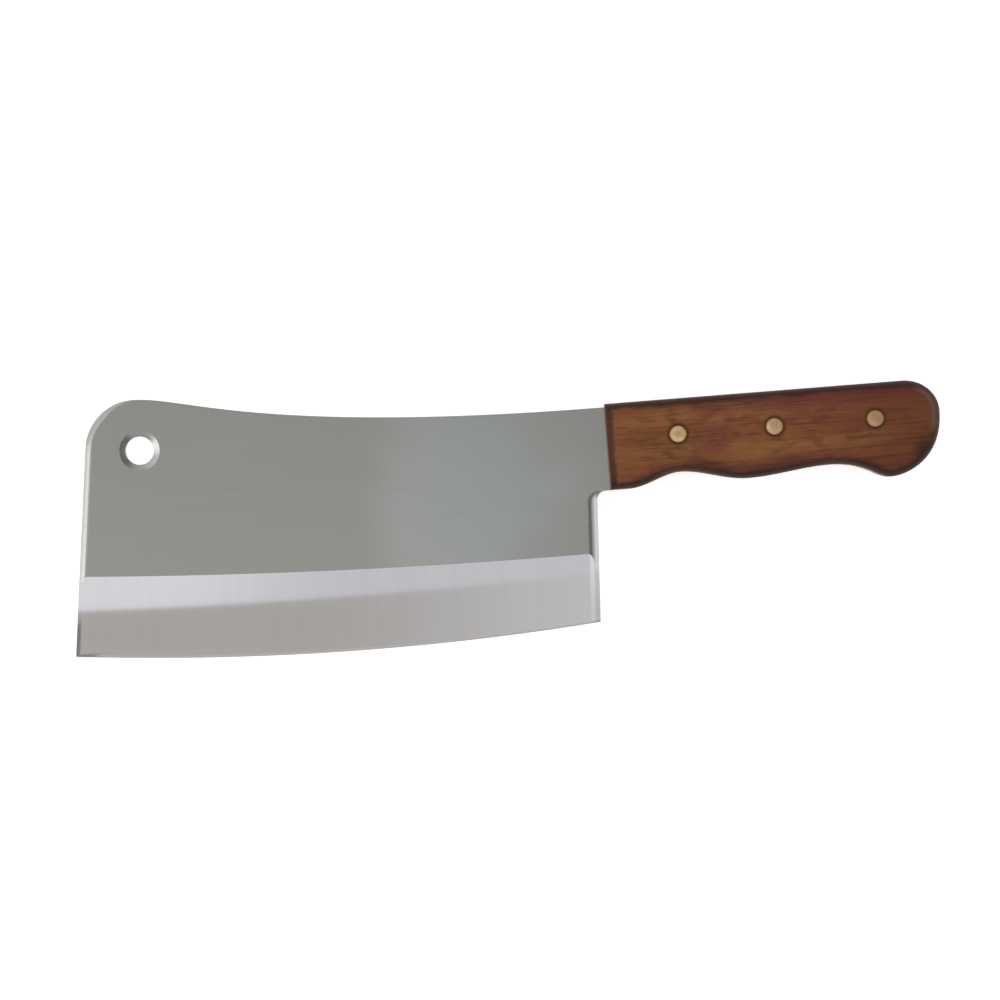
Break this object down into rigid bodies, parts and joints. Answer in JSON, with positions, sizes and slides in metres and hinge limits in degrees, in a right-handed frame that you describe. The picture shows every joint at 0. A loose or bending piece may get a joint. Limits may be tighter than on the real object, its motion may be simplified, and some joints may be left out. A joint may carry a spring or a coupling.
{
  "type": "cleaver",
  "caption": "Kitchen cleaver with a hollow-ground steel blade, a countersunk hanging hole in its raised front corner and a riveted wooden handle with finger grooves.",
  "frame": {"origin": "middle of the cleaver's box, on the plane of the right scale's outer face, on which it lies", "axes": "+X from the blade's nose to the handle's butt, +Y from the cutting edge to the spine, +Z out of the left side"},
  "size_m": [0.3358, 0.1022, 0.0205],
  "materials": {
    "steel": "satin ground flats, finer hollow grind",
    "wood": "oiled red-brown hardwood, grain along the handle",
    "brass": "ground flush, dulled by use"
  },
  "bodies": {
    "root": {"blade": "steel", "left_scale": "wood", "right_scale": "wood", "front_rivet_male": "brass", "front_rivet_female": "brass", "middle_rivet_male": "brass", "middle_rivet_female": "brass", "rear_rivet_male": "brass", "rear_rivet_female": "brass"}
  },
  "joints": []
}
